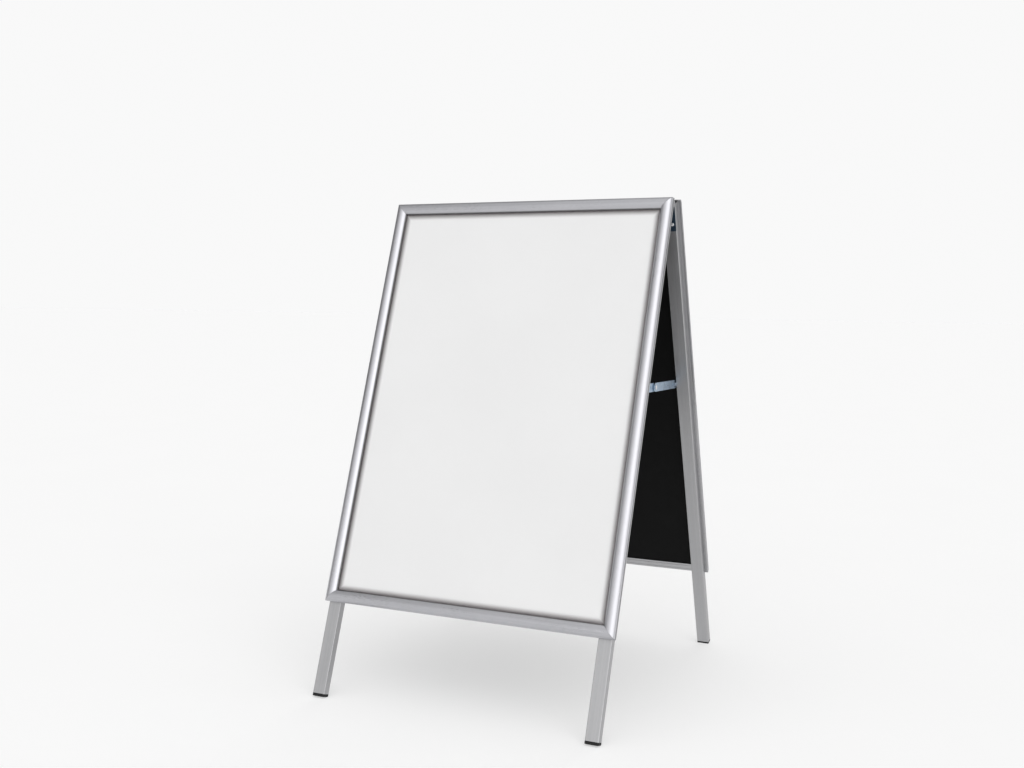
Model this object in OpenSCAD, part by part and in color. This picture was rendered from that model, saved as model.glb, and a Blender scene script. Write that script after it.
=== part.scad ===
// Folding A-frame sandwich board with a snap frame for a 50 x 70 cm poster on each face.
// Units are millimetres. +X is to the right and +Z is up. The origin lies on the floor,
// midway between the four feet.
//
// Each panel is drawn in its own panel frame. Its origin lies on the top hinge axis, X runs
// across the panel, -Z runs down it and -Y points out of its display face.
// place_front() and place_rear() stand the two panels up against each other.

/* [Poster and snap frame] */
// Width of the poster sheet
poster_w = 500; // [300:10:700]
// Height of the poster sheet
poster_h = 700; // [400:10:1000]
// Margin from the poster's edge to the outside of the frame
frame_margin = 15; // [15:0.5:18]
// Radius of the arched snap cover
arch_r = 11.6; // [11.4:0.1:12.2]
// Gap between neighbouring snap covers at a mitre
mitre_gap = 0.3; // [0.2:0.1:1]

/* [Stand] */
// Angle of each panel from the vertical when the board stands open
half_angle = 19; // [15:0.5:24]
// Width of a leg tube
leg_w = 23; // [21:0.5:26]
// Depth of a leg tube
leg_d = 13.5; // [13:0.5:16]
// Wall of a leg tube
leg_wall = 1.5; // [1:0.1:1.5]
// Distance from the outside of the frame to the outside of the leg
leg_inset = 6; // [5:0.5:6.5]
// Length of leg tube below the snap frame
leg_below = 153.5; // [60:0.5:300]

/* [Stays] */
// Distance down the panel from the hinge axis to a stay's leg pivot
stay_s = 333; // [250:1:450]
// Height of a stay link
stay_h = 15; // [12:0.5:15]
// Thickness of a stay link
stay_t = 2; // [1.5:0.1:2]

/* [Hidden] */
$fn = 64;

// ---- snap frame, whose section is drawn with x inward and y out of the display face
frame_w = poster_w + 2 * frame_margin;
frame_h = poster_h + 2 * frame_margin;
frame_top = 0.5;         // from the hinge axis down to the frame's top edge
flange_w = 14.6;         // back flange of the base profile
flange_t = 1.2;
wall_t = 1.1;            // outer wall of the base profile
wall_h = 2.8;            // stays below a neighbour's open claw
bead_a = 2.3;            // centre of the pivot bead
bead_b = 5.2;
bead_r = 1.3;
neck_t = 1;              // neck that joins the bead to its web
neck_len = 3.9;
claw_bore = 1.4;         // claw that wraps the bead, 0.1 mm clear of it
claw_r = 2.3;
claw_open = [195, 345];  // the claw's opening, as angles about the bead
web_a = 4.6;             // web that carries the bead
web_t = 1.1;
web_h = 2.9;
rib_a = 12.2;            // rib that holds the sheets in place
rib_t = 0.8;
rib_h = 3.4;
groove_r = 0.4;          // shallow lines along the back
groove_a = [4, 11];
arch_t = 1.2;
arch_start = [0.4, 6.2]; // two ends of the arch's chord
arch_end = [21, 4.9];
lip_r = 0.9;             // rounded inner lip, which presses on the sheets
lip_b = 4.85;
lip_a = arch_end[0] - lip_r;

// ---- stack of sheets on the back flange
sheet_gap = 0.05;
back_t = 2;
paper_t = 0.25;
film_t = 0.3;
back_clear = 0.2;        // from the rib to the back board's edge

// ---- legs
hinge_gap = 3;           // from the hinge plane to the leg's inner face
leg_back = hinge_gap + leg_d;
leg_x = frame_w / 2 - leg_inset - leg_w / 2;
top_plug_t = 3;
leg_top = top_plug_t;
leg_bottom = frame_top + frame_h + leg_below;
leg_corner_r = 1.2;
foot_t = 5;
foot_r = 2;              // rounding of the foot's lower side edges
foot_spigot = 14;
top_spigot = 10;
plug_clear = 0.1;        // from a plug to the tube's inside
plug_wall = 1.6;
sole_cut = 1.5;          // heel cut level with the floor, measured along the leg
axis_z = (leg_bottom + foot_t - sole_cut) * cos(half_angle) - hinge_gap * sin(half_angle);

// ---- hinges
leaf_w = leg_w - 1;
leaf_t = 1.8;
leaf_from = 8;           // stretch of the leg that the leaf covers
leaf_to = 50;
leaf_corner_r = 2;
barrel_r = 2.9;
pin_r = 1.5;
pin_clear = 0.05;        // running clearance of every pin, on the radius
pin_grip = 0.02;         // clearance where a pin is held
knuckle_w = 7;
knuckle_gap = 0.3;
pin_head_r = 2.4;
pin_head_t = 1.2;

// ---- stays
pivot_q = 8.5;           // stay pivot, from the hinge plane
link_gap = 0.4;
washer_t = 1.6;
stay_run = stay_s * sin(half_angle) + pivot_q * cos(half_angle);
stay_drop = stay_s * cos(half_angle) - pivot_q * sin(half_angle);
leg_inner_x = leg_x - leg_w / 2;
rear_link_x = leg_inner_x - washer_t - stay_t;            // low-x face of the outer link
front_link_x = rear_link_x - link_gap - stay_t;           // low-x face of the inner link
stay_pin_r = 2.5;
stay_head_r = 4.5;
stay_head_t = 1.5;
joint_head_r = 4;
joint_head_t = 1.2;
washer_r = 5;
side_clear = 0.05;       // on each face of a turning link
pivot_tail_t = 1.5;      // upset tail inside the tube

// ---- fasteners
screw_a = 9.5;           // leg screws, in the channel under the side covers
screw_r = 1.4;
screw_head_r = 2.4;
screw_head_t = 1.4;
screw_len = 3;           // reach past the leg's wall
screw_from = 70;         // first and last screw, from the ends of the frame
screws_per_leg = 4;
rivet_r = 1.6;
rivet_head_r = 2.8;
rivet_head_t = 1;
rivet_tail_t = 1.5;      // upset tail inside the tube
rivet_s = 38;
rivet_dx = 5;

// ---- corner keys and spring clips
key_a = 6;
key_w = 5.6;
key_t = 1.5;
key_arm = 45;
spring_a = 8.8;
spring_b = 4.95;
spring_r = 3.6;
spring_t = 0.5;
spring_w = 14;
spring_open = [-40, 35]; // opening of the clip, as angles about its centre
side_springs = [-0.27, 0, 0.27];  // places along a side, as shares of its length
end_springs = [-0.23, 0.23];

far = 100;               // reach of a cutting tool beyond what it cuts
cut = 1;                 // overlap of a cutting tool through a face

// ================================================================ placing

module place_front() {
    translate([0, 0, axis_z]) rotate([-half_angle, 0, 0]) children();
}

module place_rear() {
    rotate([0, 0, 180]) place_front() children();
}

// Turns a right-hand side, drawn about the frame's centre, to one of the four sides:
// 0 right, 1 bottom, 2 left, 3 top.
module at_side(side) {
    translate([0, 0, -frame_top - frame_h / 2]) rotate([0, 90 * side, 0]) children();
}

function side_length(side) = side % 2 == 0 ? frame_h : frame_w;
function side_reach(side) = (side % 2 == 0 ? frame_w : frame_h) / 2;

// Frame of a side's profile: x runs inward, y out of the display face and z along the side.
module at_profile(side) {
    translate([side_reach(side), -leg_back, 0]) rotate([0, 0, 180]) children();
}

// Extrudes a profile section along one side of the frame.
module run_of_section(side, length) {
    at_profile(side) linear_extrude(height = length, center = true) children();
}

// Keeps what lies between the two mitre planes of a side.
module mitred(side, gap) {
    half = side_length(side) / 2 - gap / 2;
    reach = side_reach(side);
    intersection() {
        children();
        translate([0, far / 2, 0]) rotate([90, 0, 0]) linear_extrude(height = 2 * far)
            polygon([[reach + cut, half + cut], [reach - far, half - far],
                [reach - far, far - half], [reach + cut, -half - cut]]);
    }
}

// ================================================================ profile sections

function polar(r, angle) = [r * cos(angle), r * sin(angle)];

// Pie slice from one angle to another, used to open the claw.
module slice(r, from_angle, to_angle) {
    steps = 6;
    polygon(concat([[0, 0]],
        [for (i = [0:steps]) polar(r, from_angle + (to_angle - from_angle) * i / steps)]));
}

module box2(from, to) {
    translate(from) square(to - from);
}

module base_section() {
    difference() {
        union() {
            box2([0, 0], [flange_w, flange_t]);
            box2([0, 0], [wall_t, wall_h]);
            box2([web_a, 0], [web_a + web_t, web_h]);
            box2([rib_a, 0], [rib_a + rib_t, rib_h]);
            translate([bead_a, bead_b]) {
                circle(bead_r);
                rotate(-45) translate([0, -neck_t / 2]) square([neck_len, neck_t]);
            }
        }
        for (a = groove_a) translate([a, 0]) circle(groove_r);
    }
}

// The arch is part of a ring whose outer arc runs from arch_start to arch_end.
chord = arch_end - arch_start;
chord_len = norm(chord);
arch_rise = sqrt(arch_r * arch_r - chord_len * chord_len / 4);
arch_centre = (arch_start + arch_end) / 2 - arch_rise * [-chord[1], chord[0]] / chord_len;

module cover_section() {
    lip_end = arch_end[0] - lip_r / 2;
    rib_foot = 8;
    difference() {
        union() {
            intersection() {
                translate(arch_centre) difference() {
                    circle(arch_r, $fn = 180);
                    circle(arch_r - arch_t, $fn = 180);
                }
                box2([arch_start[0], lip_b], [lip_end, 2 * arch_r]);
            }
            translate([bead_a, bead_b]) circle(claw_r);
            translate([lip_a, lip_b]) circle(lip_r);
            // two ribs beside the tops of the spring clips
            box2([5.9, rib_foot], [6.7, rib_foot + 2.3]);
            box2([10.9, rib_foot], [11.7, rib_foot + 3]);
        }
        translate([bead_a, bead_b]) {
            circle(claw_bore);
            slice(2 * claw_r, claw_open[0], claw_open[1]);
        }
    }
}

// Rounded rectangle, drawn with true arcs and centred on the origin.
module round_rect(w, d, r) {
    square([w - 2 * r, d], center = true);
    square([w, d - 2 * r], center = true);
    for (x = [-1, 1], y = [-1, 1]) translate([x * (w / 2 - r), y * (d / 2 - r)]) circle(r);
}

// ================================================================ snap frame

// Places a +Z axis at each leg screw, from the channel floor out of the display face.
module leg_screw_axes() {
    pitch = (frame_h - 2 * screw_from) / (screws_per_leg - 1);
    for (x = [-1, 1], i = [0:screws_per_leg - 1])
        translate([x * (frame_w / 2 - screw_a), -leg_back - flange_t, -frame_top - screw_from - i * pitch])
            rotate([90, 0, 0]) children();
}

module leg_screw_holes() {
    depth = flange_t + leg_wall;
    leg_screw_axes() translate([0, 0, -depth - cut]) cylinder(r = screw_r + pin_clear, h = depth + 2 * cut);
}

module base_profile(side) {
    color("silver") difference() {
        at_side(side) mitred(side, 0) run_of_section(side, side_length(side)) base_section();
        if (side % 2 == 0) leg_screw_holes();
    }
}

// Slanted cuts at both ends of a cover's claw, so that neighbouring covers can stand open together.
module claw_relief(side) {
    half = side_length(side) / 2;
    reach = bead_a + bead_b + mitre_gap;
    at_profile(side) for (end = [0, 1]) mirror([0, 0, end]) translate([-cut, 0, 0]) rotate([90, 0, 90])
        linear_extrude(height = cut + bead_a + claw_r)
            polygon([[reach, half], [-cut, half - reach - cut], [-cut, half + cut], [reach, half + cut]]);
}

module snap_cover(side) {
    color("gainsboro") at_side(side) mitred(side, mitre_gap) difference() {
        run_of_section(side, side_length(side)) cover_section();
        claw_relief(side);
    }
}

// Flat L-shaped key in the channel of each corner.
module corner_keys() {
    color("lightsteelblue")
        for (x = [0, 1], z = [0, 1])
            translate([0, -leg_back - flange_t - sheet_gap, -frame_top - frame_h / 2])
                mirror([x, 0, 0]) mirror([0, 0, z])
                    translate([frame_w / 2 - key_a, 0, frame_h / 2 - key_a]) rotate([90, 0, 0])
                        linear_extrude(height = key_t) {
                            translate([-key_w, -key_arm]) square([key_w, key_arm]);
                            translate([-key_arm, -key_w]) square([key_arm, key_w]);
                        }
}

// C-shaped leaf springs that push the covers shut.
module spring_clips() {
    color("lightsteelblue")
        for (side = [0:3], place = side % 2 == 0 ? side_springs : end_springs)
            at_side(side) translate([0, 0, place * side_length(side)])
                run_of_section(side, spring_w) translate([spring_a, spring_b]) difference() {
                    circle(spring_r);
                    circle(spring_r - spring_t);
                    slice(2 * spring_r, spring_open[0], spring_open[1]);
                }
}

// A sheet of the stack: its width, height, thickness and distance above the flange's back face.
module sheet(w, h, t, b) {
    translate([-w / 2, -leg_back - b - t, -frame_top - (frame_h + h) / 2]) cube([w, t, h]);
}

back_b = flange_t + sheet_gap;
paper_b = back_b + back_t + sheet_gap;
film_b = paper_b + paper_t + sheet_gap;
back_edge = rib_a + rib_t + back_clear;

module back_board() {
    color("black") sheet(frame_w - 2 * back_edge, frame_h - 2 * back_edge, back_t, back_b);
}

module poster() {
    color("whitesmoke") sheet(poster_w, poster_h, paper_t, paper_b);
}

module clear_sheet() {
    color("white", 0.3) sheet(poster_w, poster_h, film_t, film_b);
}

// ================================================================ legs, plugs and feet

// x is -1 for the left leg of a panel and 1 for the right.
module leg_tube(x) {
    color("silver") difference() {
        translate([x * leg_x, -hinge_gap - leg_d / 2, -leg_bottom])
            linear_extrude(height = leg_bottom - leg_top) difference() {
                round_rect(leg_w, leg_d, leg_corner_r);
                square([leg_w - 2 * leg_wall, leg_d - 2 * leg_wall], center = true);
            }
        leg_screw_holes();
        stay_pivot_axis(x) translate([0, 0, -cut])
            cylinder(r = stay_pin_r + pin_clear, h = leg_wall + 2 * cut);
        hinge_rivet_axes(x) translate([0, 0, -cut])
            cylinder(r = rivet_r + pin_clear, h = leg_wall + 2 * cut);
    }
}

// Hollow spigot that fits inside the leg tube, from the origin along +Z.
module spigot(length) {
    w = leg_w - 2 * leg_wall - 2 * plug_clear;
    d = leg_d - 2 * leg_wall - 2 * plug_clear;
    linear_extrude(height = length) difference() {
        square([w, d], center = true);
        square([w - 2 * plug_wall, d - 2 * plug_wall], center = true);
    }
}

module top_plugs() {
    color("black")
        for (x = [-1, 1]) translate([x * leg_x, -hinge_gap - leg_d / 2, -leg_top]) {
            linear_extrude(height = top_plug_t) round_rect(leg_w, leg_d, leg_corner_r);
            mirror([0, 0, 1]) spigot(top_spigot);
        }
}

// Foot block with two rounded lower edges, below the tube's end.
module foot_block() {
    intersection() {
        linear_extrude(height = foot_t) round_rect(leg_w, leg_d, leg_corner_r);
        rotate([90, 0, 0]) linear_extrude(height = 2 * leg_d, center = true) {
            translate([0, foot_r + foot_t / 2]) square([leg_w, foot_t], center = true);
            translate([0, foot_r / 2]) square([leg_w - 2 * foot_r, foot_r], center = true);
            for (c = [-1, 1]) translate([c * (leg_w / 2 - foot_r), foot_r]) circle(foot_r);
        }
    }
}

// The foot plugs the tube's lower end. Its heel is cut level with the floor.
module foot(x) {
    color("black") difference() {
        translate([x * leg_x, -hinge_gap - leg_d / 2, -leg_bottom - foot_t]) {
            foot_block();
            translate([0, 0, foot_t]) spigot(foot_spigot);
        }
        rotate([half_angle, 0, 0]) translate([-frame_w, -frame_h, -axis_z - far])
            cube([2 * frame_w, 2 * frame_h, far]);
    }
}

// Cross-recessed screws that hold the leg to the side profile, with their heads in the channel.
module leg_screws() {
    depth = flange_t + leg_wall + screw_len;
    recess = [3, 0.6, 0.6];
    color("lightsteelblue") leg_screw_axes() difference() {
        union() {
            cylinder(r = screw_head_r, h = screw_head_t);
            translate([0, 0, -depth]) cylinder(r = screw_r, h = depth + screw_head_t / 2);
        }
        for (turn = [0, 90]) rotate(turn)
            translate([-recess[0] / 2, -recess[1] / 2, screw_head_t - recess[2]]) cube(recess + [0, 0, cut]);
    }
}

// ================================================================ top hinges

// Places a +Z axis at the two rivets of one hinge leaf, from the leg's inner face into the tube.
module hinge_rivet_axes(x) {
    for (dx = [-rivet_dx, rivet_dx])
        translate([x * leg_x + dx, -hinge_gap, -rivet_s]) rotate([90, 0, 0]) children();
}

module barrel(from_x, to_x, r) {
    translate([from_x, 0, 0]) rotate([0, 90, 0]) cylinder(r = r, h = to_x - from_x);
}

// Leaf on the leg's inner face. ranges lists its knuckles' stretches, measured from the leg's centre.
module hinge_leaf(x, ranges, bore) {
    color([0.06, 0.09, 0.13]) difference() {
        translate([x * leg_x, 0, 0]) {
            translate([0, -hinge_gap + leaf_t, -(leaf_from + leaf_to) / 2]) rotate([90, 0, 0])
                linear_extrude(height = leaf_t) round_rect(leaf_w, leaf_to - leaf_from, leaf_corner_r);
            for (k = ranges) {
                barrel(k[0], k[1], barrel_r);
                translate([k[0], -hinge_gap, -leaf_from - leaf_corner_r])
                    cube([k[1] - k[0], leaf_t, leaf_from + leaf_corner_r]);
            }
        }
        translate([x * leg_x, 0, 0]) barrel(-leg_w, leg_w, bore);
        hinge_rivet_axes(x) translate([0, 0, -leaf_t - cut])
            cylinder(r = rivet_r + pin_clear, h = leaf_t + 2 * cut);
    }
}

knuckle_end = leaf_w / 2;
outer_knuckles = [[-knuckle_end, -knuckle_end + knuckle_w], [knuckle_end - knuckle_w, knuckle_end]];
middle_knuckle = [[-knuckle_end + knuckle_w + knuckle_gap, knuckle_end - knuckle_w - knuckle_gap]];

// Headed pin, held in the front leaf's two knuckles.
module hinge_pin(x) {
    end = knuckle_end + pin_clear;
    color("gray") translate([x * leg_x, 0, axis_z]) {
        barrel(-end - pin_head_t / 2, end + pin_head_t / 2, pin_r);
        barrel(-end - pin_head_t, -end, pin_head_r);
        barrel(end, end + pin_head_t, pin_head_r);
    }
}

// Low domed rivets that hold the leaves to the legs.
module hinge_rivets() {
    dome_r = (pow(rivet_head_r, 2) + pow(rivet_head_t, 2)) / (2 * rivet_head_t);
    color("silver")
        for (x = [-1, 1]) hinge_rivet_axes(x) {
            translate([0, 0, -leaf_t - rivet_head_t / 2])
                cylinder(r = rivet_r, h = rivet_head_t / 2 + leaf_t + leg_wall + rivet_tail_t);
            intersection() {
                translate([0, 0, -leaf_t - rivet_head_t + dome_r]) sphere(r = dome_r);
                translate([0, 0, -leaf_t - rivet_head_t]) cylinder(r = rivet_head_r, h = rivet_head_t);
            }
            translate([0, 0, leg_wall]) cylinder(r = rivet_head_r, h = rivet_tail_t);
        }
}

// ================================================================ folding stays

// Places a +Z axis at the stay pivot of one leg, from the leg's inner side into the tube.
module stay_pivot_axis(x) {
    translate([x * leg_inner_x, -pivot_q, -stay_s]) rotate([0, 90 * x, 0]) children();
}

// Flat bar with round ends, from the pivot at the origin along +Y. Its low face lies at z = 0.
module link_bar(hole_r) {
    bead_w = 5;
    bead_h = 0.5;
    bead_from = 22;
    difference() {
        linear_extrude(height = stay_t) difference() {
            union() {
                translate([-stay_h / 2, 0]) square([stay_h, stay_run]);
                circle(stay_h / 2);
                translate([0, stay_run]) circle(stay_h / 2);
            }
            circle(hole_r);
            translate([0, stay_run]) circle(hole_r);
        }
        // pressed groove along the middle of the bar
        translate([0, 0, stay_t - bead_h]) linear_extrude(height = bead_h + cut) {
            translate([-bead_w / 2, bead_from]) square([bead_w, stay_run - 2 * bead_from]);
            translate([0, bead_from]) circle(bead_w / 2);
            translate([0, stay_run - bead_from]) circle(bead_w / 2);
        }
    }
}

// Stands at a stay's leg pivot in the object's frame. way is -1 for the front leg and 1 for the rear.
module at_leg_pivot(way) {
    translate([0, way * stay_run, axis_z - stay_drop]) children();
}

// Link between the leg pivot and the middle joint. side is -1 left and 1 right, low is its inner face.
module stay_link(way, side, low) {
    color("lightsteelblue") at_leg_pivot(way)
        translate([side > 0 ? low : -low, 0, 0]) mirror([side > 0 ? 0 : 1, 0, 0])
            rotate([0, 90, 0]) mirror([0, way > 0 ? 1 : 0, 0]) link_bar(stay_pin_r + pin_clear);
}

// Half of the rivet at the middle joint. It fills its own link's hole and ends in a head.
module stay_joint(side, low, head_inside) {
    color("silver") translate([0, 0, axis_z - stay_drop]) mirror([side > 0 ? 0 : 1, 0, 0]) {
        barrel(low, low + stay_t, stay_pin_r);
        if (head_inside) barrel(low - joint_head_t, low, joint_head_r);
        else barrel(low + stay_t, low + stay_t + joint_head_t, joint_head_r);
    }
}

// Rivets on which the links turn. low is the inner face of the link.
module stay_pivots(low) {
    reach = leg_inner_x - low + side_clear;
    color("silver")
        for (x = [-1, 1]) stay_pivot_axis(x) {
            translate([0, 0, -reach - stay_head_t / 2])
                cylinder(r = stay_pin_r, h = stay_head_t / 2 + reach + leg_wall + pivot_tail_t);
            translate([0, 0, -reach - stay_head_t]) cylinder(r = stay_head_r, h = stay_head_t);
            translate([0, 0, leg_wall]) cylinder(r = stay_pin_r + 1, h = pivot_tail_t);
        }
}

// Spacers between a link and its leg.
module stay_washers(low) {
    length = leg_inner_x - low - stay_t - side_clear;
    color("silver")
        for (x = [-1, 1]) stay_pivot_axis(x) translate([0, 0, -length]) difference() {
            cylinder(r = washer_r, h = length);
            translate([0, 0, -cut]) cylinder(r = stay_pin_r + pin_clear, h = length + 2 * cut);
        }
}

// ================================================================ nodes
// The rear panel is the front one turned half round, so its own right is the object's left.

place_front() base_profile(3);  // front_base_top
place_front() base_profile(1);  // front_base_bottom
place_front() base_profile(2);  // front_base_left
place_front() base_profile(0);  // front_base_right
place_rear() base_profile(3);  // rear_base_top
place_rear() base_profile(1);  // rear_base_bottom
place_rear() base_profile(0);  // rear_base_left
place_rear() base_profile(2);  // rear_base_right

place_front() snap_cover(3);  // front_cover_top
place_front() snap_cover(1);  // front_cover_bottom
place_front() snap_cover(2);  // front_cover_left
place_front() snap_cover(0);  // front_cover_right
place_rear() snap_cover(3);  // rear_cover_top
place_rear() snap_cover(1);  // rear_cover_bottom
place_rear() snap_cover(0);  // rear_cover_left
place_rear() snap_cover(2);  // rear_cover_right

place_front() corner_keys();  // front_corner_keys
place_rear() corner_keys();  // rear_corner_keys
place_front() spring_clips();  // front_spring_clips
place_rear() spring_clips();  // rear_spring_clips

place_front() back_board();  // front_back_board
place_rear() back_board();  // rear_back_board
place_front() poster();  // front_poster
place_rear() poster();  // rear_poster
place_front() clear_sheet();  // front_clear_sheet
place_rear() clear_sheet();  // rear_clear_sheet

place_front() leg_tube(-1);  // front_leg_left
place_front() leg_tube(1);  // front_leg_right
place_rear() leg_tube(1);  // rear_leg_left
place_rear() leg_tube(-1);  // rear_leg_right
place_front() foot(-1);  // front_foot_left
place_front() foot(1);  // front_foot_right
place_rear() foot(1);  // rear_foot_left
place_rear() foot(-1);  // rear_foot_right
place_front() leg_screws();  // front_leg_screws
place_rear() leg_screws();  // rear_leg_screws

place_front() top_plugs();  // front_top_plugs
place_rear() top_plugs();  // rear_top_plugs

place_front() hinge_leaf(-1, outer_knuckles, pin_r + pin_grip);  // front_hinge_leaf_left
place_front() hinge_leaf(1, outer_knuckles, pin_r + pin_grip);  // front_hinge_leaf_right
place_rear() hinge_leaf(1, middle_knuckle, pin_r + pin_clear);  // rear_hinge_leaf_left
place_rear() hinge_leaf(-1, middle_knuckle, pin_r + pin_clear);  // rear_hinge_leaf_right
hinge_pin(-1);  // hinge_pin_left
hinge_pin(1);  // hinge_pin_right
place_front() hinge_rivets();  // front_hinge_rivets
place_rear() hinge_rivets();  // rear_hinge_rivets

stay_link(-1, -1, front_link_x);  // front_stay_link_left
stay_link(-1, 1, front_link_x);  // front_stay_link_right
stay_link(1, -1, rear_link_x);  // rear_stay_link_left
stay_link(1, 1, rear_link_x);  // rear_stay_link_right
place_front() stay_pivots(front_link_x);  // front_stay_pivots
place_rear() stay_pivots(rear_link_x);  // rear_stay_pivots
place_front() stay_washers(front_link_x);  // front_stay_washers
place_rear() stay_washers(rear_link_x);  // rear_stay_washers
stay_joint(-1, front_link_x, true);  // front_stay_joint_left
stay_joint(1, front_link_x, true);  // front_stay_joint_right
stay_joint(-1, rear_link_x, false);  // rear_stay_joint_left
stay_joint(1, rear_link_x, false);  // rear_stay_joint_right
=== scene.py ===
# Looks of a folding sandwich board with a snap frame on each face. Lengths are in metres.
# +X is to the right, +Z is up, and the origin lies on the floor midway between the feet.

import math

import bpy
from mathutils import Matrix

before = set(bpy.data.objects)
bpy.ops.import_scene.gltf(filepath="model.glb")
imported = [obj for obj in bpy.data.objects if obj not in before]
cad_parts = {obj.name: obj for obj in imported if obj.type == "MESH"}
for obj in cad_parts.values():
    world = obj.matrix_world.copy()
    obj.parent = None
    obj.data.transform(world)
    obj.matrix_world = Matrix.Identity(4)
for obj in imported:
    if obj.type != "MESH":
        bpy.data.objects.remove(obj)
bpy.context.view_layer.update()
scene = bpy.context.scene

# ---- sizes that the looks depend on
LEAN = math.radians(19)        # of each panel, from the vertical
POSTER_SIZE = (0.5, 0.7)
LIP_COVER = 0.006              # how far a cover's lip reaches over the poster
HINGE_HEIGHT = 0.838171        # of the hinge axis above the floor
FRAME_DROP = 0.3655            # from the hinge axis down a panel to the middle of its frame
PANEL_MIDDLE = HINGE_HEIGHT * math.cos(LEAN) - FRAME_DROP    # its height in the turned frame
LIP_SHADE_FADE = (0.0006, 0.0022)      # where the painted shade along a cover's lip thins out, from the lip's edge
LIP_SHADOW_FADE = 0.0115           # width of the painted shadow on the poster along the covers' lips
METAL_EDGE = 0.0002            # width of the rounded edges on small metal parts
PLASTIC_EDGE = 0.0003

# ---- camera
CAMERA_PLACE = (0.8479, -1.8279, 0.6503)
CAMERA_YAW = math.radians(23.34)
CAMERA_TILT = math.radians(-5.59)
CAMERA_ROLL = math.radians(0.87)
CAMERA_LENS = 39.44            # millimetres, on a sensor 36 mm wide
CAMERA_SHIFT = (-0.0483, 0.0380)

# ---- studio: (azimuth in degrees from -Y towards +X, brightness) around the horizon
HORIZON_LIGHT = [(-180, 1.15), (-168, 1.0), (-148, 0.36), (-110, 0.2), (-84, 0.28), (-68, 0.46), (-52, 0.7),
                 (-38, 0.82), (-26, 0.88), (-14, 1.16), (0, 1.38), (14, 1.62), (30, 1.88), (50, 1.88),
                 (62, 1.8), (74, 1.1), (88, 0.36), (110, 0.28), (148, 0.4), (168, 1.0), (180, 1.15)]
HORIZON_PEAK = 1.9
CEILING_LIGHT = 1.0
CEILING_EDGE = (0.75, 0.95)    # sine of the elevation where the horizon's light gives way to the ceiling's
BACKDROP_LIGHT = 0.945         # what the camera sees past the floor
FLOOR_GLOW = 0.46              # keeps the shadow on the floor faint
FLOOR_SIZE = 400               # puts the floor's edge at the horizon


# ================================================================ node helpers

class Graph:
    """Short calls that add and join nodes in one node tree."""

    def __init__(self, tree):
        self.tree = tree

    def add(self, kind, **settings):
        node = self.tree.nodes.new(kind)
        for key, value in settings.items():
            setattr(node, key, value)
        return node

    def feed(self, socket, value):
        """Joins a socket, or sets a plain value."""
        if isinstance(value, bpy.types.NodeSocket):
            self.tree.links.new(value, socket)
        else:
            socket.default_value = value

    def math(self, operation, *values):
        node = self.add("ShaderNodeMath", operation=operation)
        for socket, value in zip(node.inputs, values):
            self.feed(socket, value)
        return node.outputs[0]

    def ramp(self, value, low, high, out_low=0.0, out_high=1.0, kind="SMOOTHSTEP"):
        """Maps value from low..high to out_low..out_high."""
        node = self.add("ShaderNodeMapRange", interpolation_type=kind)
        for name, number in (("Value", value), ("From Min", low), ("From Max", high),
                             ("To Min", out_low), ("To Max", out_high)):
            self.feed(node.inputs[name], number)
        return node.outputs["Result"]

    def blend(self, share, a, b):
        """Colour that goes from a to b as share goes from 0 to 1."""
        node = self.add("ShaderNodeMix", data_type="RGBA")
        self.feed(node.inputs["Factor"], share)
        self.feed(node.inputs["A"], a)
        self.feed(node.inputs["B"], b)
        return node.outputs["Result"]

    def turned(self, rotation, stretch):
        """Object coordinates turned into a panel's own frame, then stretched."""
        place = self.add("ShaderNodeTexCoord").outputs["Object"]
        turn = self.add("ShaderNodeMapping")
        self.feed(turn.inputs["Vector"], place)
        self.feed(turn.inputs["Rotation"], rotation)
        scale = self.add("ShaderNodeMapping")
        self.feed(scale.inputs["Vector"], turn.outputs["Vector"])
        self.feed(scale.inputs["Scale"], stretch)
        return scale.outputs["Vector"]

    def noise(self, vector, scale=1.0, detail=2.0):
        node = self.add("ShaderNodeTexNoise")
        self.feed(node.inputs["Vector"], vector)
        self.feed(node.inputs["Scale"], scale)
        self.feed(node.inputs["Detail"], detail)
        return node.outputs["Fac"]

    def mixed(self, *parts):
        """Sum of (value, weight) pairs."""
        total = 0.0
        for value, weight in parts:
            total = self.math("MULTIPLY_ADD", value, weight, total)
        return total

    def bump(self, height, distance, strength=1.0, normal=None):
        node = self.add("ShaderNodeBump")
        self.feed(node.inputs["Height"], height)
        self.feed(node.inputs["Distance"], distance)
        self.feed(node.inputs["Strength"], strength)
        if normal is not None:
            self.feed(node.inputs["Normal"], normal)
        return node.outputs["Normal"]

    def surface(self, color, roughness, metallic=0.0, normal=None, specular=0.5):
        node = self.add("ShaderNodeBsdfPrincipled")
        self.feed(node.inputs["Base Color"], color)
        self.feed(node.inputs["Roughness"], roughness)
        self.feed(node.inputs["Metallic"], metallic)
        self.feed(node.inputs["Specular IOR Level"], specular)
        if normal is not None:
            self.feed(node.inputs["Normal"], normal)
        return node.outputs["BSDF"]

    def either(self, share, a, b):
        """Shader that goes from a to b as share goes from 0 to 1."""
        node = self.add("ShaderNodeMixShader")
        for socket, value in zip(node.inputs, (share, a, b)):
            self.feed(socket, value)
        return node.outputs[0]

    def show(self, shader):
        """Joins a shader to the material's output."""
        self.feed(self.add("ShaderNodeOutputMaterial").inputs["Surface"], shader)


def new_material(name):
    """An empty node material, and the calls that fill it."""
    material = bpy.data.materials.new(name)
    material.use_nodes = True
    material.node_tree.nodes.clear()
    return material, Graph(material.node_tree)


def grey(level, tint=0.0):
    """Linear grey, a little bluer as tint grows."""
    return (level, level, level * (1 + tint), 1)


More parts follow.
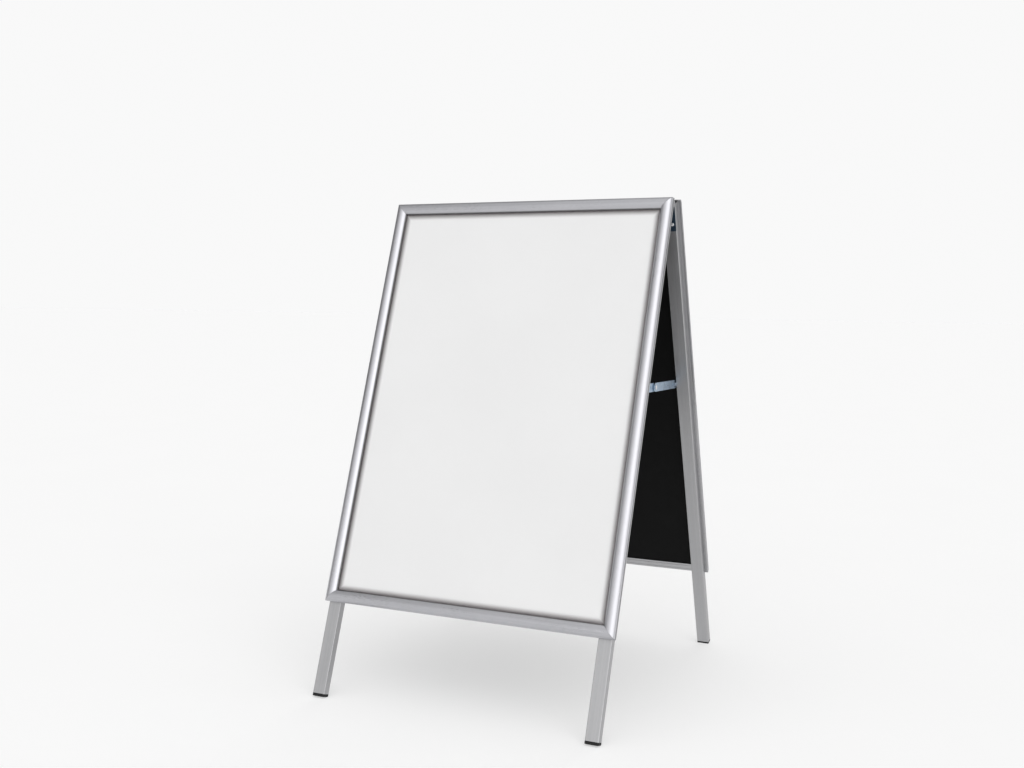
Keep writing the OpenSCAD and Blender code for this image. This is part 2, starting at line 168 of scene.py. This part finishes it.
ROUND = (1, 1, 1)              # a texture that isn't stretched
COVER_SHADE_LEVEL = {"across": 0.48, "down": 0.56}    # painted shade: top and bottom covers darker than the sides
BASE_LEVEL = 0.5
LEG_LEVEL = 0.46
LEG_ROUGH = (0.4, 0.52)        # the legs are duller than the snap frame
# colour of the painted shadow on the poster along the covers' lips
LIP_SHADOW_TINT = (0.14, 0.122, 0.127, 1)
FILM_GLOSS = 0.4               # share of a bare sheet's reflection that the film keeps
PANEL_TURN = {"front": (LEAN, 0, 0), "rear": (-LEAN, 0, math.pi), "level": (0, 0, 0)}


# ================================================================ materials

def painted_lip_shade(g, turn):
    """1 along the covers' inner lips, where shade is painted on, and 0 from a little way out."""
    parts = g.add("ShaderNodeSeparateXYZ")
    g.feed(parts.inputs[0], g.turned(turn, ROUND))
    beyond_side = g.math("SUBTRACT", g.math("ABSOLUTE", parts.outputs["X"]), POSTER_SIZE[0] / 2 - LIP_COVER)
    from_middle = g.math("ABSOLUTE", g.math("SUBTRACT", parts.outputs["Z"], PANEL_MIDDLE))
    beyond_end = g.math("SUBTRACT", from_middle, POSTER_SIZE[1] / 2 - LIP_COVER)
    return g.ramp(g.math("MAXIMUM", beyond_side, beyond_end), *LIP_SHADE_FADE, 1.0, 0.0)


def stretched(run, along, across):
    """Scale of a texture that is drawn out along the run of a profile."""
    return (along, across, across) if run == "across" else (across, across, along)


def anodised_aluminium(name, panel, run, level, tint=0.02, lip_shade=False, rough=(0.26, 0.36)):
    """Satin extrusion with die lines along its run, which is "across" or "down" the panel."""
    material, g = new_material(name)
    turn = PANEL_TURN[panel]
    lines = g.noise(g.turned(turn, stretched(run, 5, 1100)), detail=3)
    bands = g.noise(g.turned(turn, stretched(run, 1.2, 300)))
    grain = g.noise(g.turned(turn, ROUND), 2600, 1)
    mottle = g.noise(g.turned(turn, stretched(run, 130, 460)), detail=3)
    clouds = g.noise(g.turned(turn, ROUND), 9, 4)
    marks = g.ramp(g.noise(g.turned(turn, (30, 45, 620)), detail=1), 0.75, 0.79)
    shade = g.mixed((bands, 0.45), (clouds, 0.3), (mottle, 0.25))
    share = g.ramp(shade, 0.4, 0.6, kind="LINEAR")
    color = g.blend(share, grey(level * 0.95, tint), grey(level * 1.05, tint))
    color = g.blend(g.math("MULTIPLY", marks, 0.12), color, grey(level * 0.8))
    if lip_shade:
        # painted shade: the covers turn darker towards their inner lips, as if in the lip's shadow
        color = g.blend(painted_lip_shade(g, turn), color, grey(level * 0.3))
    satin = g.ramp(g.mixed((lines, 0.5), (clouds, 0.4), (mottle, 0.1)), 0.35, 0.65, *rough)
    satin = g.mixed((satin, 1.0), (marks, 0.04))
    normal = g.bump(grain, 0.00002, 0.5, g.bump(lines, 0.00003, 0.6))
    g.show(g.surface(color, satin, 1.0, normal))
    return material


def plated_steel(name, color_low, color_high, rough=(0.26, 0.42)):
    """Zinc-plated pressing: cloudy plating, faint rolling grain and rubbed spots."""
    material, g = new_material(name)
    place = g.turned(PANEL_TURN["level"], ROUND)
    clouds = g.noise(place, 160, 4)
    crystals = g.add("ShaderNodeTexVoronoi")
    g.feed(crystals.inputs["Vector"], place)
    g.feed(crystals.inputs["Scale"], 900)
    rolled = g.noise(g.turned(PANEL_TURN["level"], (900, 40, 900)))
    share = g.mixed((clouds, 0.7), (crystals.outputs["Distance"], 0.5))
    color = g.blend(g.ramp(share, 0.35, 0.8), color_low, color_high)
    roughness = g.ramp(g.mixed((clouds, 0.6), (rolled, 0.4)), 0.35, 0.65, *rough)
    normal = g.bump(rolled, 0.00003, 0.5, g.bump(crystals.outputs["Distance"], 0.00002, 0.4))
    g.show(g.surface(color, roughness, 1.0, normal))
    return material


def painted_leaf(name):
    """Dark blue-black paint with a soft orange peel, worn through to metal in small spots."""
    material, g = new_material(name)
    place = g.turned(PANEL_TURN["level"], ROUND)
    peel = g.noise(place, 700, 2)
    clouds = g.noise(place, 60, 4)
    chips = g.ramp(g.noise(place, 330, 5), 0.72, 0.75)
    color = g.blend(clouds, (0.008, 0.020, 0.036, 1), (0.017, 0.036, 0.060, 1))
    paint = g.surface(color, g.ramp(clouds, 0.3, 0.7, 0.28, 0.44), 0.0, g.bump(peel, 0.00006, 0.5))
    metal = g.surface(grey(0.5), 0.35, 1.0)
    g.show(g.either(chips, paint, metal))
    return material


def moulded_plastic(name, level, grain_scale, rough, specular):
    """Black moulded plastic with a fine spark-eroded grain and a little dust."""
    material, g = new_material(name)
    place = g.turned(PANEL_TURN["level"], ROUND)
    grain = g.noise(place, grain_scale, 3)
    dust = g.noise(place, 35, 5)
    color = g.blend(g.ramp(dust, 0.45, 0.75), grey(level, 0.03), grey(level * 2.2, 0.02))
    roughness = g.ramp(g.mixed((grain, 0.4), (dust, 0.6)), 0.35, 0.65, *rough)
    normal = g.bump(grain, 0.0001, 0.45)
    g.show(g.surface(color, roughness, 0.0, normal, specular))
    return material


def poster_paper(name):
    """Off-white coated paper with a painted soft grey-brown shadow along the covers' lips."""
    material, g = new_material(name)
    coordinates = g.add("ShaderNodeTexCoord")
    parts = g.add("ShaderNodeSeparateXYZ")
    g.feed(parts.inputs[0], coordinates.outputs["Generated"])
    inside = []
    for share, size in zip((parts.outputs["X"], parts.outputs["Z"]), POSTER_SIZE):
        from_middle = g.math("ABSOLUTE", g.math("SUBTRACT", share, 0.5))
        inside.append(g.math("SUBTRACT", size / 2 - LIP_COVER, g.math("MULTIPLY", from_middle, size)))
    edge = g.math("MINIMUM", *inside)
    place = g.turned(PANEL_TURN["level"], ROUND)
    fibres = g.noise(place, 900, 4)
    clouds = g.noise(place, 5, 3)
    paper = g.blend(g.ramp(g.mixed((fibres, 0.4), (clouds, 0.6)), 0.35, 0.65), grey(0.855), grey(0.875))
    # painted shadow: the poster darkens towards the covers' lips
    color = g.blend(g.ramp(edge, -0.001, LIP_SHADOW_FADE), LIP_SHADOW_TINT, paper)
    rough = g.ramp(fibres, 0.3, 0.7, 0.5, 0.62)
    g.show(g.surface(color, rough, 0.0, g.bump(fibres, 0.00003, 0.3), 0.3))
    return material


def clear_film(name):
    """Clear sheet: the poster shows through, under a soft gloss that grows at a slant."""
    material, g = new_material(name)
    place = g.turned(PANEL_TURN["level"], ROUND)
    smear = g.noise(place, 7, 4)
    ripple = g.noise(place, 22, 2)
    normal = g.bump(ripple, 0.0004, 0.25)
    fresnel = g.add("ShaderNodeFresnel")
    g.feed(fresnel.inputs["IOR"], 1.49)
    glass = g.add("ShaderNodeBsdfTransparent")
    g.feed(glass.inputs["Color"], grey(0.995))
    gloss = g.surface(grey(0.9), g.ramp(smear, 0.3, 0.7, 0.13, 0.24), 1.0, normal)
    g.show(g.either(g.math("MULTIPLY", fresnel.outputs[0], FILM_GLOSS), glass.outputs[0], gloss))
    return material


# ================================================================ dressing the CAD nodes

def dress(node, material, bevel=0.0):
    """Gives a CAD node its material and, if asked, small rounded edges."""
    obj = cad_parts[node]
    obj.data.materials.clear()
    obj.data.materials.append(material)
    if bevel:
        edge = obj.modifiers.new("edge", "BEVEL")
        edge.width = bevel
        edge.segments = 2
        edge.limit_method = "ANGLE"
        edge.angle_limit = math.radians(35)
        edge.harden_normals = True


zinc = plated_steel("zinc_plate", (0.27, 0.36, 0.46, 1), (0.44, 0.55, 0.67, 1))
steel = plated_steel("bright_steel", grey(0.42, 0.02), grey(0.6, 0.02))
rivet = plated_steel("rivet_aluminium", grey(0.6, 0.01), grey(0.78, 0.01), (0.22, 0.34))
leaf = painted_leaf("leaf_paint")
plug = moulded_plastic("plug_plastic", 0.006, 1500, (0.5, 0.66), 0.3)
board = moulded_plastic("board_plastic", 0.002, 420, (0.5, 0.7), 0.12)
paper = poster_paper("poster_paper")
film = clear_film("clear_film")

for panel in ("front", "rear"):
    # the top and bottom covers get a darker painted shade than the side covers
    cover = {run: anodised_aluminium(f"{panel}_cover_{run}", panel, run, level, 0.05, True)
             for run, level in COVER_SHADE_LEVEL.items()}
    base = {run: anodised_aluminium(f"{panel}_base_{run}", panel, run, BASE_LEVEL) for run in COVER_SHADE_LEVEL}
    leg = anodised_aluminium(f"{panel}_leg", panel, "down", LEG_LEVEL, rough=LEG_ROUGH)
    for side in ("top", "bottom", "left", "right"):
        run = "across" if side in ("top", "bottom") else "down"
        dress(f"{panel}_base_{side}", base[run])
        dress(f"{panel}_cover_{side}", cover[run])
    for side in ("left", "right"):
        dress(f"{panel}_leg_{side}", leg)
        dress(f"{panel}_foot_{side}", plug, PLASTIC_EDGE)
        dress(f"{panel}_hinge_leaf_{side}", leaf, METAL_EDGE)
        dress(f"{panel}_stay_link_{side}", zinc, METAL_EDGE)
        dress(f"{panel}_stay_joint_{side}", rivet, METAL_EDGE)
    dress(f"{panel}_corner_keys", steel)
    dress(f"{panel}_spring_clips", steel)
    dress(f"{panel}_leg_screws", steel)
    dress(f"{panel}_stay_pivots", rivet, METAL_EDGE)
    dress(f"{panel}_stay_washers", steel)
    dress(f"{panel}_hinge_rivets", rivet)
    dress(f"{panel}_top_plugs", plug, PLASTIC_EDGE)
    dress(f"{panel}_back_board", board)
    dress(f"{panel}_poster", paper)
    dress(f"{panel}_clear_sheet", film)
for side in ("left", "right"):
    dress(f"hinge_pin_{side}", steel, METAL_EDGE)


# ================================================================ studio

def add_camera():
    """The camera that the main picture is taken with."""
    camera = bpy.data.objects.new("camera", bpy.data.cameras.new("camera"))
    scene.collection.objects.link(camera)
    camera.matrix_world = (Matrix.Translation(CAMERA_PLACE) @ Matrix.Rotation(CAMERA_YAW, 4, "Z")
                           @ Matrix.Rotation(math.pi / 2 + CAMERA_TILT, 4, "X")
                           @ Matrix.Rotation(CAMERA_ROLL, 4, "Z"))
    camera.data.lens = CAMERA_LENS
    camera.data.shift_x, camera.data.shift_y = CAMERA_SHIFT
    scene.camera = camera


def add_floor():
    """Pale seamless floor with a faint mottle."""
    half = FLOOR_SIZE / 2
    mesh = bpy.data.meshes.new("floor")
    corners = [(-half, -half, 0), (half, -half, 0), (half, half, 0), (-half, half, 0)]
    mesh.from_pydata(corners, [], [(0, 1, 2, 3)])
    floor = bpy.data.objects.new("floor", mesh)
    scene.collection.objects.link(floor)
    material, g = new_material("floor_paint")
    mottle = g.noise(g.turned(PANEL_TURN["level"], ROUND), 3, 4)
    paint = g.surface(g.blend(mottle, grey(0.55), grey(0.57)), 0.8, 0.0, None, 0.0)
    g.feed(paint.node.inputs["Emission Color"], grey(1.0))
    g.feed(paint.node.inputs["Emission Strength"], FLOOR_GLOW)
    g.show(paint)
    mesh.materials.append(material)


def add_world():
    """Soft light that changes around the horizon, with a plain white backdrop for the camera."""
    world = bpy.data.worlds.new("studio")
    world.use_nodes = True
    scene.world = world
    world.node_tree.nodes.clear()
    g = Graph(world.node_tree)
    parts = g.add("ShaderNodeSeparateXYZ")
    g.feed(parts.inputs[0], g.add("ShaderNodeTexCoord").outputs["Generated"])
    azimuth = g.math("ARCTAN2", parts.outputs["X"], g.math("MULTIPLY", parts.outputs["Y"], -1.0))
    ring = g.add("ShaderNodeValToRGB")
    g.feed(ring.inputs[0], g.ramp(azimuth, -math.pi, math.pi, kind="LINEAR"))
    ring.color_ramp.interpolation = "EASE"
    for degrees, light in HORIZON_LIGHT:
        place = (degrees + 180) / 360
        stops = ring.color_ramp.elements
        stop = stops[0] if degrees == -180 else stops[-1] if degrees == 180 else stops.new(place)
        stop.color = grey(light / HORIZON_PEAK)
    around = g.math("MULTIPLY", ring.outputs["Color"], HORIZON_PEAK)
    high = g.ramp(parts.outputs["Z"], *CEILING_EDGE)
    light = g.math("ADD", g.math("MULTIPLY", around, g.math("SUBTRACT", 1.0, high)),
                   g.math("MULTIPLY", high, CEILING_LIGHT))
    seen = g.add("ShaderNodeLightPath").outputs["Is Camera Ray"]
    strength = g.math("ADD", g.math("MULTIPLY", seen, BACKDROP_LIGHT),
                      g.math("MULTIPLY", g.math("SUBTRACT", 1.0, seen), light))
    background = g.add("ShaderNodeBackground")
    g.feed(background.inputs["Strength"], strength)
    g.feed(background.inputs["Color"], grey(1.0))
    g.feed(g.add("ShaderNodeOutputWorld").inputs["Surface"], background.outputs[0])


add_camera()
add_floor()
add_world()
scene.view_settings.view_transform = "Standard"
